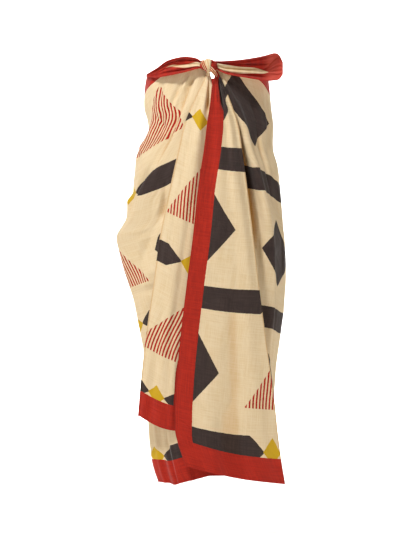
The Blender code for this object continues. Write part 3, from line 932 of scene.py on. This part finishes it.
def panel_surface(panel):
    """A hanging panel's points, its places on the cloth and the painted shade of its valleys and its tuck,
    with a round turn at its fold.
    """
    rows, grid = panel.rows, panel.grid
    free_x, free_drop, fold_x, fold_drop, belly, proud = columns_by_row(rows, grid.rows)
    width = np.abs(fold_x - free_x)
    wide = np.minimum(1, width / FULL_RELIEF_WIDTH)
    row_places = np.linspace(0, len(rows) - 1, grid.rows)
    cloth_down = hermite(range(len(rows)), panel.cloth_rows, row_places)[:, None]
    fade_from, fade_to = TURN_AWAY_FADE

    def face_at(share):
        x = free_x + (fold_x - free_x) * share
        sag = belly * np.sin(math.pi * np.clip(share, 0, 1)) / 2
        drop = free_drop + (fold_drop - free_drop) * share + sag
        relief = fold_relief(panel.folds + panel.creases, share, drop, PANEL_SCALE) * wide
        lifted = panel.overlap * smooth_step(1 - share / OVERLAP_SHARE)
        near_fold = smooth_step((share - TURN_AWAY_FROM) / TURN_AWAY_OVER)
        turned_away = TURN_AWAY * near_fold * smooth_step((fade_to - drop) / (fade_to - fade_from)) * wide
        y = curtain(x, drop) - proud - relief - lifted + turned_away
        return np.stack([x, y, -drop], -1), relief

    face, relief = face_at(np.linspace(0, 1, grid.columns)[None, :])
    outward = np.sign(fold_x - free_x)
    depth = np.minimum(TUCK_DEPTH, TUCK_DEPTH_AT_TOP + TUCK_DEPTH_GROWTH * width)
    round_x = outward * np.sin(FOLD_TURN) * depth / 2
    round_y = (1 - np.cos(FOLD_TURN)) * depth / 2
    turned = face[:, -1:, :] + np.stack([round_x, round_y, 0 * round_y], -1)
    reach = np.minimum(panel.tuck, TUCK_SHARE * width) * TUCK_STEPS
    tucked = face_at(1 - reach / width)[0] + np.stack([0 * reach, depth + 0 * reach, TUCK_SAG * reach], -1)
    # The turned-in cloth leans back until it rests on the wound cloth behind it.
    lean = np.linspace(0, 1, tucked.shape[1])[None, :] ** TUCK_LEAN
    tucked[..., 1] += lean * np.maximum(wrap_front(tucked[..., 0], -tucked[..., 2]) - tucked[..., 1], 0)
    points = drawn_in(np.concatenate([face, turned, tucked], 1))
    cloth = np.stack([arc_length(points), cloth_down + 0 * points[..., 0]], -1)
    # Painted shade on the panel's sunk folds, and on its turn and tuck, which lie behind the fold.
    hidden = np.ones((grid.rows, turned.shape[1] + tucked.shape[1]))
    shown = np.clip((-relief - PANEL_SHALLOW_DEPTH) / PAINTED_SHADE_DEPTH, 0, 1)
    painted_shade = np.concatenate([shown, TUCK_PAINTED_SHADE * hidden], 1)
    points[..., 1] -= rippled(cloth[..., 0] + PANEL_RIPPLE_SHIFT, cloth[..., 1]) * wide
    return points, cloth, painted_shade


def tail_surface(tail):
    """A tail's points and places on the cloth, the painted shade of its creases, its red and where it is a
    single layer.
    """
    x, upper, lower, y, cup = columns_by_row(tail.rows, TAIL_GRID.rows)
    across = np.linspace(-1, 1, TAIL_GRID.columns)[None, :]
    share = np.sin(across * math.pi / 2) + 0 * x
    height = (upper + lower) / 2 + (upper - lower) / 2 * share
    out = np.linspace(0, 1, TAIL_GRID.rows)[:, None]
    gather = TAIL_GATHER * np.cos(across * 2 * math.pi * TAIL_PLEATS) * np.sqrt(1 - out)
    for pleat in TAIL_FINE_PLEATS:
        wave = np.cos(across * pleat.across + out * pleat.outward + pleat.start)
        gather = gather + pleat.height * wave * (1 - pleat.faded * out)
    away = np.abs(x) + 0 * across
    relief = 0 * away
    half = np.maximum((upper - lower) / 2, LEAST_HALF_HEIGHT)
    for crease in tail.creases:
        start = np.stack([crease.from_x + 0 * half, crease.from_across * half], -1)
        run = np.stack([crease.to_x + 0 * half, crease.to_across * half], -1) - start
        length = np.linalg.norm(run, axis=-1)
        right = away - start[..., 0]
        up = share * half - start[..., 1]
        along = (right * run[..., 0] + up * run[..., 1]) / length**2
        beside = (right * run[..., 1] - up * run[..., 0]) / length
        strength = smooth_step(along / TAIL_FADE_IN + TAIL_FADED_AT_START)
        strength = strength * (1 - smooth_step((along - TAIL_FADE_OUT_FROM) / TAIL_FADE_OUT))
        relief = relief + crease.height * np.exp(-((beside / crease.width) ** 2)) * strength
    points = drawn_in(np.stack([x + 0 * across, y + cup * (1 - across**2) + gather - relief, height], -1))
    edge = (np.abs(share - column(tail.cream, "middle", away)) - column(tail.cream, "half", away)) * half
    red = smooth_step(edge / DYE_EDGE + 0.5)
    along, down = TAIL_CLOTH
    cloth = np.stack([along + TAIL_CLOTH_SHARE * share * half, down + TAIL_CLOTH_SHARE * away], -1)
    # Where the tail is a single layer, its red gets the painted shine-through.
    thin = smooth_step((away - tail.single_from) / SINGLE_LAYER_EDGE) * red
    return points, cloth, np.clip(-TAIL_PAINTED_SHADE * relief, 0, 1), red, thin


def strand_surface(strand):
    """The closed tube of one folded strand of the knot, with pleats along it."""
    place = np.linspace(0, len(strand.points) - 1, STRAND_GRID.rows)
    steps = range(len(strand.points))
    x, y, z, half_width, half_thickness = (hermite(steps, values, place) for values in zip(*strand.points))
    centre = drawn_in(np.stack([x, y, z], -1))
    tangent = np.gradient(centre, axis=0)
    tangent = tangent / np.linalg.norm(tangent, axis=1, keepdims=True)
    across = np.array(strand.across, float)[None, :]
    across = across - tangent * np.sum(across * tangent, axis=1, keepdims=True)
    across = across / np.linalg.norm(across, axis=1, keepdims=True)
    normal = np.cross(tangent, across)
    turn = np.linspace(0, 2 * math.pi, STRAND_GRID.columns)[None, :]
    wander = PLEAT_WANDER * np.sin(place[:, None] * PLEAT_WANDER_RATE)
    pleat = 1 + PLEAT_DEPTH * np.cos(2 * strand.pleats * turn + wander)
    wide = half_width[:, None] * np.cos(turn) * (1 + PLEAT_DEPTH_AT_EDGES * (pleat - 1))
    thick = half_thickness[:, None] * np.sin(turn) * pleat
    points = centre[:, None, :] + across[:, None, :] * wide[..., None] + normal[:, None, :] * thick[..., None]
    length = np.concatenate([[0], np.cumsum(np.linalg.norm(np.diff(centre, axis=0), axis=1))])[:, None]
    run = strand.cloth_v + STRAND_CLOTH_SHARE * length
    cloth = np.stack([strand.cloth_u + strand.widened * wide, run + 0 * wide], -1)
    # Painted shade in the hollows of the pleats.
    painted_shade = np.clip((1 - pleat) / PLEAT_DEPTH, 0, 1) * STRAND_PAINTED_SHADE
    return points, cloth, painted_shade


def motif_mask(tree, along, down, motif):
    """One where a place of the repeat lies inside a motif, and nothing elsewhere."""
    from_middle = add(tree, "ShaderNodeMath", {1: -motif.along}, {0: along}, operation="ADD")
    wrapped = add(
        tree, "ShaderNodeMath", {1: REPEAT_ALONG / 2, 2: -REPEAT_ALONG / 2}, {0: from_middle.outputs[0]},
        operation="WRAP",
    )
    beside = add(tree, "ShaderNodeMath", (), {0: wrapped.outputs[0]}, operation="ABSOLUTE")
    below = add(tree, "ShaderNodeMath", {1: -motif.down}, {0: down}, operation="ADD")
    lower = add(
        tree, "ShaderNodeMath", {1: REPEAT_DOWN / 2, 2: -REPEAT_DOWN / 2}, {0: below.outputs[0]},
        operation="WRAP",
    )
    away = add(tree, "ShaderNodeMath", (), {0: lower.outputs[0]}, operation="ABSOLUTE")
    part = add(tree, "ShaderNodeMath", {1: 1 / motif.half_down}, {0: away.outputs[0]}, operation="MULTIPLY")
    reach = add(
        tree, "ShaderNodeMath", {1: 1 / motif.half_along}, {0: beside.outputs[0], 2: part.outputs[0]},
        operation="MULTIPLY_ADD",
    )
    inside = add(tree, "ShaderNodeMath", {1: 1.0}, {0: reach.outputs[0]}, operation="LESS_THAN")
    above = add(tree, "ShaderNodeMath", {1: motif.cut_above}, {0: lower.outputs[0]}, operation="GREATER_THAN")
    under = add(tree, "ShaderNodeMath", {1: motif.cut_below}, {0: lower.outputs[0]}, operation="LESS_THAN")
    band = add(
        tree, "ShaderNodeMath", (), {0: above.outputs[0], 1: under.outputs[0]}, operation="MULTIPLY"
    )
    mask = add(tree, "ShaderNodeMath", (), {0: inside.outputs[0], 1: band.outputs[0]}, operation="MULTIPLY")
    return mask.outputs[0]


def over(tree, under, colour, mask):
    """One colour laid over another where a mask is set."""
    mixed = add(
        tree, "ShaderNodeMix", {7: colour} if isinstance(colour, list) else {}, {0: mask, 6: under},
        data_type="RGBA",
    )
    if not isinstance(colour, list):
        tree.links.new(colour, mixed.inputs[7])
    return mixed.outputs[2]


def woven_cotton(name, printed):
    """Thin plain-woven cotton with a matt face, dyed red along its edges and printed inside them."""
    finish = bpy.data.materials.new(name)
    finish.use_nodes = True
    tree = finish.node_tree
    tree.nodes.clear()
    place = add(tree, "ShaderNodeUVMap", uv_map="cloth")
    millimetres = add(tree, "ShaderNodeVectorMath", {1: [1 / MM] * 3}, {0: place.outputs[0]},
                      operation="MULTIPLY")
    # The dye creeps a little along the threads, so every printed edge wanders.
    wander = add(tree, "ShaderNodeTexNoise", {"Scale": PRINT_WANDER_SCALE, "Detail": 1.0},
                 {"Vector": millimetres.outputs[0]})
    shift = add(tree, "ShaderNodeVectorMath", {1: (0.5, 0.5, 0.5)}, {0: wander.outputs["Color"]},
                operation="SUBTRACT")
    scaled = add(tree, "ShaderNodeVectorMath", {"Scale": PRINT_WANDER * 2}, {0: shift.outputs[0]},
                 operation="SCALE")
    printed_place = add(tree, "ShaderNodeVectorMath", (), {0: millimetres.outputs[0], 1: scaled.outputs[0]},
                        operation="ADD")
    parts = add(tree, "ShaderNodeSeparateXYZ", (), {0: printed_place.outputs[0]})
    along, down = parts.outputs[0], parts.outputs[1]

    # The slubs of the threads along the cloth and down it. Where thick ones cross, the dye sits darker.
    slubs = []
    for stretch in (WEFT_STRETCH, WARP_STRETCH):
        streaks = add(tree, "ShaderNodeVectorMath", {1: stretch}, {0: millimetres.outputs[0]},
                      operation="MULTIPLY")
        noise = add(tree, "ShaderNodeTexNoise", {"Scale": SLUB_SCALE, "Detail": 3.0},
                    {"Vector": streaks.outputs[0]})
        slubs.append(noise.outputs[0])
    threads = add(tree, "ShaderNodeMath", (), {0: slubs[0], 1: slubs[1]}, operation="MULTIPLY")
    slub = add(tree, "ShaderNodeMapRange", {1: SLUB_RANGE[0], 2: SLUB_RANGE[1]}, {0: threads.outputs[0]})

    ground = add(tree, "ShaderNodeMix", {6: linear(CREAM), 7: linear(CREAM_SLUB)}, {0: slub.outputs[0]},
                 data_type="RGBA")
    dye = add(tree, "ShaderNodeMix", {6: linear(RED), 7: linear(RED_DEEP)}, {0: slub.outputs[0]},
              data_type="RGBA")
    colour = ground.outputs[2]
    if printed:
        black = add(tree, "ShaderNodeMix", {6: linear(CHARCOAL), 7: linear(CHARCOAL_WORN)},
                    {0: slub.outputs[0]}, data_type="RGBA")
        line = add(tree, "ShaderNodeMath", {1: STRIPE_PITCH}, {0: along}, operation="MODULO")
        line = add(tree, "ShaderNodeMath", {1: STRIPE_PITCH * STRIPE_SHARE}, {0: line.outputs[0]},
                   operation="LESS_THAN")
        for motif in STRIPED_MOTIFS:
            mask = motif_mask(tree, along, down, motif)
            pinned = add(tree, "ShaderNodeMath", (), {0: mask, 1: line.outputs[0]}, operation="MULTIPLY")
            colour = over(tree, colour, dye.outputs[2], pinned.outputs[0])
        for motif in CHARCOAL_MOTIFS:
            colour = over(tree, colour, black.outputs[2], motif_mask(tree, along, down, motif))
        for motif in MUSTARD_MOTIFS:
            colour = over(tree, colour, linear(MUSTARD), motif_mask(tree, along, down, motif))

    # The red borders lie along all four edges of the flat cloth.
    from_hem = add(tree, "ShaderNodeMath", {0: CLOTH_HEIGHT}, {1: down}, operation="SUBTRACT")
    long_edge = add(tree, "ShaderNodeMath", (), {0: down, 1: from_hem.outputs[0]}, operation="MINIMUM")
    long_red = add(tree, "ShaderNodeMath", {1: LONG_BORDER}, {0: long_edge.outputs[0]}, operation="LESS_THAN")
    from_end = add(tree, "ShaderNodeMath", {0: CLOTH_LENGTH}, {1: along}, operation="SUBTRACT")
    end_edge = add(tree, "ShaderNodeMath", (), {0: along, 1: from_end.outputs[0]}, operation="MINIMUM")
    end_red = add(tree, "ShaderNodeMath", {1: END_BORDER}, {0: end_edge.outputs[0]}, operation="LESS_THAN")
    border = add(tree, "ShaderNodeMath", (), {0: long_red.outputs[0], 1: end_red.outputs[0]},
                 operation="MAXIMUM")
    painted = add(tree, "ShaderNodeAttribute", attribute_name="red")
    red = add(tree, "ShaderNodeMath", (), {0: border.outputs[0], 1: painted.outputs["Fac"]},
              operation="MAXIMUM")
    colour = over(tree, colour, dye.outputs[2], red.outputs[0])

    # Painted light: a single layer that hangs out alone is painted a paler red, for the light that shines
    # through it.
    shine_through_mask = add(tree, "ShaderNodeAttribute", attribute_name="thin")
    colour = over(tree, colour, linear(PAINTED_SHINE_THROUGH_RED), shine_through_mask.outputs["Fac"])

    # The rolled hems are sewn down, with a line of stitches beside every edge.
    edge = add(tree, "ShaderNodeMath", (), {0: long_edge.outputs[0], 1: end_edge.outputs[0]},
               operation="MINIMUM")
    in_line = add(tree, "ShaderNodeMath", {1: STITCH_INSET, 2: STITCH_WIDTH / 2}, {0: edge.outputs[0]},
                  operation="COMPARE")
    both_ways = add(tree, "ShaderNodeMath", (), {0: along, 1: down}, operation="ADD")
    step = add(tree, "ShaderNodeMath", {1: STITCH_PITCH}, {0: both_ways.outputs[0]}, operation="MODULO")
    dash = add(tree, "ShaderNodeMath", {1: STITCH_PITCH * STITCH_SHARE}, {0: step.outputs[0]},
               operation="LESS_THAN")
    stitch = add(tree, "ShaderNodeMath", (), {0: in_line.outputs[0], 1: dash.outputs[0]},
                 operation="MULTIPLY")
    colour = over(tree, colour, linear(RED_THREAD), stitch.outputs[0])

    # Painted shade: where a point's painted shade is set, the colour is multiplied towards ochre, for the
    # shade and the warm light between the layers of a deep fold, a tuck or a pleat.
    depth = add(tree, "ShaderNodeAttribute", attribute_name="painted_shade")
    painted_shade_mix = add(tree, "ShaderNodeMix", {7: linear(PAINTED_SHADE_COLOUR)}, {0: depth.outputs["Fac"], 6: colour},
               data_type="RGBA", blend_type="MULTIPLY")

    # Light breaks softly over the crumples of washed cotton, and finely over its threads.
    crumple = add(tree, "ShaderNodeTexNoise", {"Scale": CRUMPLE_SCALE, "Detail": 2.0, "Distortion": 0.8},
                  {"Vector": millimetres.outputs[0]})
    crumpled = add(tree, "ShaderNodeBump", {"Strength": 0.6, "Distance": 0.005},
                   {"Height": crumple.outputs[0]})
    threads_up = add(tree, "ShaderNodeBump", {"Strength": 0.25, "Distance": 0.0004},
                     {"Height": threads.outputs[0], "Normal": crumpled.outputs[0]})
    face = add(
        tree, "ShaderNodeBsdfPrincipled",
        {"Roughness": 0.86, "Specular IOR Level": 0.25, "Sheen Weight": 0.12, "Sheen Roughness": 0.5},
        {"Base Color": painted_shade_mix.outputs[2], "Normal": threads_up.outputs[0]},
    )
    add(tree, "ShaderNodeOutputMaterial", (), {0: face.outputs[0]})
    return finish


def seamless_paper(name):
    """Smooth matt studio paper. It glows a little, as paper under many lamps does, so it stays pale."""
    finish = bpy.data.materials.new(name)
    finish.use_nodes = True
    tree = finish.node_tree
    tree.nodes.clear()
    place = add(tree, "ShaderNodeTexCoord")
    grain = add(tree, "ShaderNodeTexNoise", {"Scale": 3.0}, {"Vector": place.outputs["Object"]})
    tone = add(tree, "ShaderNodeMix", {6: linear(PALE_PAPER), 7: linear(PALE_PAPER_SHADE)},
               {0: grain.outputs[0]}, data_type="RGBA")
    face = add(
        tree, "ShaderNodeBsdfPrincipled",
        {"Roughness": 0.9, "Specular IOR Level": 0.1, "Emission Color": (1, 1, 1, 1),
         "Emission Strength": 0.08},
        {"Base Color": tone.outputs[2]},
    )
    add(tree, "ShaderNodeOutputMaterial", (), {0: face.outputs[0]})
    return finish


def laid_out(points):
    """The cut of a tail: its greatest width and its length in metres when laid flat, and its area."""
    width = np.max(arc_length(points)[:, -1]) * MM
    length = np.max(arc_length(points.swapaxes(0, 1))[:, -1]) * MM
    sides = np.cross(points[1:, 1:] - points[:-1, :-1], points[1:, :-1] - points[:-1, 1:])
    return (width, length), float(np.sum(np.linalg.norm(sides, axis=2)) / 2) * MM**2


printed_cotton = woven_cotton("printed plain-woven cotton", True)
red_border_cotton = woven_cotton("red and cream plain-woven cotton", False)

# The wound cloth, cut where the solids meet.
points, cloth, painted_shade = wrap_surface()
first_cut = round(RIGHT_SEAM * (WRAP_GRID.columns - 1))
second_cut = round(LEFT_SEAM * (WRAP_GRID.columns - 1))
wound = {
    "right_side": slice(0, first_cut + 1),
    "back": slice(first_cut, second_cut + 1),
    "left_side": slice(second_cut, WRAP_GRID.columns),
}
for node, span in wound.items():
    cloth_piece(
        node + "_cloth", node, points[:, span], cloth[:, span], painted_shade[:, span], 0.0, printed_cotton,
    )
wrap_top_hem = rolled_hem("top_hem", [points[0]], red_border_cotton)
wrap_low_hem = rolled_hem("lower_hem", [points[-1]], red_border_cotton)

# The two ends of the cloth, which hang in front. The left one is the far end of the cloth.
Panel = namedtuple("Panel", "node rows folds creases tuck overlap cloth_rows grid border far_end")
PANELS = (
    Panel("right_front_panel", RIGHT_PANEL_ROWS, RIGHT_PANEL_FOLDS, RIGHT_PANEL_CREASES, RIGHT_PANEL_TUCK,
          RIGHT_PANEL_OVERLAP, RIGHT_PANEL_CLOTH, RIGHT_PANEL_GRID, RIGHT_BORDER_FOLDED, False),
    Panel("left_front_panel", LEFT_PANEL_ROWS, LEFT_PANEL_FOLDS, LEFT_PANEL_CREASES, LEFT_PANEL_TUCK,
          0, LEFT_PANEL_CLOTH, LEFT_PANEL_GRID, LEFT_BORDER_FOLDED, True),
)
for panel in PANELS:
    points, cloth, painted_shade = panel_surface(panel)
    folded, out_from, out_to = panel.border
    hang = -points[:, :1, 2]
    cloth[..., 0] += folded * (1 - smooth_step((hang - out_from) / (out_to - out_from)))
    if panel.far_end:
        cloth[..., 0] = CLOTH_LENGTH - cloth[..., 0]
    cloth_piece(
        panel.node + "_cloth", panel.node, points, cloth, painted_shade, 0.0, printed_cotton,
    )
    rolled_hem(panel.node + "_hem", [points[:, 0], points[-1]], red_border_cotton)

# The tied corners' ends, and how far out each becomes a single layer. The left one never does.
Tail = namedtuple("Tail", "node rows creases cream single_from")
TAILS = (
    Tail("right_tail", RIGHT_TAIL_ROWS, RIGHT_TAIL_CREASES, RIGHT_TAIL_CREAM, 128),
    Tail("left_tail", LEFT_TAIL_ROWS, LEFT_TAIL_CREASES, LEFT_TAIL_CREAM, 200),
)
for tail in TAILS:
    points, cloth, painted_shade, red, thin = tail_surface(tail)
    laid_out(points)
    cloth_piece(
        tail.node + "_cloth", tail.node, points, cloth, painted_shade, red, red_border_cotton,
        thin,
    )
    edges = [points[:, 0], points[:, -1], points[-1]]
    rolled_hem(tail.node + "_hem", edges, red_border_cotton)

for label, strand in KNOT_STRANDS.items():
    points, cloth, painted_shade = strand_surface(strand)
    piece = cloth_mesh("knot_" + label, points, cloth, painted_shade, float(strand.dyed))
    piece.data.materials.append(printed_cotton)
    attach(piece, "root")
    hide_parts("knot")

# The body holds up the wound cloth, and the knot holds the rest. The knot is folded from both tails.
Hold = namedtuple("Hold", "node held rests_on with_pieces")

# The floor is a wide round dish of studio paper, well below the hem, whose rim curves up all round.
# Its sizes are in metres. The flat middle is closed by one small face.
FLOOR_HEIGHT = -1.16
MIDDLE_RADIUS = 0.01
FLOOR_RADIUS = 9.0
BEND_RADIUS = 2.0
RIM_HEIGHT = 5.0
DISH_SIDES = 64
BEND_STEPS = 10

# The lights, in metres and watts. The last two light the paper alone, behind the garment.
Light = namedtuple("Light", "name place target size power")
LIGHTS = rows_of(
    Light,
    ("key", (-1.1, -1.9, 2.2), (0, 0, -0.2), 0.4, 86),
    ("rear", (-1.7, 2.5, 1.4), (0, 0, -0.5), 0.9, 10),
    ("wall", (0, 5.0, 3.4), (0, 9.8, -0.6), 3.5, 900),
    ("floor", (0.3, 3.2, 2.8), (0.3, 3.9, FLOOR_HEIGHT), 2.5, 330),
)

# The glow from all round is warm, as the light between layers of cream cloth is.
GLOW_COLOUR = (1.0, 0.68, 0.34)
GLOW_STRENGTH = 0.15

# The camera, in millimetres, and its small offset from the line of sight, in metres.
SENSOR_WIDTH = 36
FOCAL_LENGTH = 180
CAMERA_LEFT = 0.0005
CAMERA_DOWN = 0.00175


def backdrop():
    """A pale dish of studio paper: a flat floor, a wide bend and an upright rim."""
    profile = [(MIDDLE_RADIUS, FLOOR_HEIGHT)]
    for step in range(BEND_STEPS + 1):
        turn = math.pi / 2 * step / BEND_STEPS
        profile.append((
            FLOOR_RADIUS + BEND_RADIUS * math.sin(turn),
            FLOOR_HEIGHT + BEND_RADIUS - BEND_RADIUS * math.cos(turn),
        ))
    profile.append((FLOOR_RADIUS + BEND_RADIUS, RIM_HEIGHT))
    corners = []
    for radius, height in profile:
        for side in range(DISH_SIDES):
            turn = 2 * math.pi * side / DISH_SIDES
            corners.append((radius * math.cos(turn), radius * math.sin(turn), height))
    faces = [tuple(range(DISH_SIDES))]
    for ring in range(len(profile) - 1):
        for side in range(DISH_SIDES):
            following = (side + 1) % DISH_SIDES
            inner, outer = ring * DISH_SIDES, (ring + 1) * DISH_SIDES
            faces.append((inner + side, outer + side, outer + following, inner + following))
    mesh = bpy.data.meshes.new("backdrop")
    mesh.from_pydata(corners, [], faces)
    mesh.shade_smooth()
    mesh.materials.append(seamless_paper("matt white studio paper"))
    in_scene("backdrop", mesh)


def soft_light(light):
    """A square soft light at its place, facing its target."""
    lamp = bpy.data.lights.new(light.name, "AREA")
    lamp.shape = "SQUARE"
    lamp.size = light.size
    lamp.energy = light.power
    stand = in_scene(light.name, lamp)
    stand.location = light.place
    stand.rotation_euler = (Vector(light.target) - Vector(light.place)).to_track_quat("-Z", "Y").to_euler()


def surroundings(colour, brightness):
    """An even glow from all round."""
    world = bpy.data.worlds.new("studio")
    world.use_nodes = True
    glow = world.node_tree.nodes["Background"]
    glow.inputs["Color"].default_value = (*colour, 1)
    glow.inputs["Strength"].default_value = brightness
    bpy.context.scene.world = world


def photo_camera():
    """A level camera five metres in front of the waist's plane."""
    lens = bpy.data.cameras.new("front")
    lens.sensor_fit = "HORIZONTAL"
    lens.sensor_width = SENSOR_WIDTH
    lens.lens = FOCAL_LENGTH
    view = in_scene("front", lens)
    view.location = (SIGHT_X * MM - CAMERA_LEFT, -SIGHT_DISTANCE * MM, -SIGHT_DROP * MM - CAMERA_DOWN)
    view.rotation_euler = (math.pi / 2, 0, 0)
    bpy.context.scene.camera = view


backdrop()
for light in LIGHTS:
    soft_light(light)
surroundings(GLOW_COLOUR, GLOW_STRENGTH)
photo_camera()
bpy.context.scene.view_settings.view_transform = "Standard"
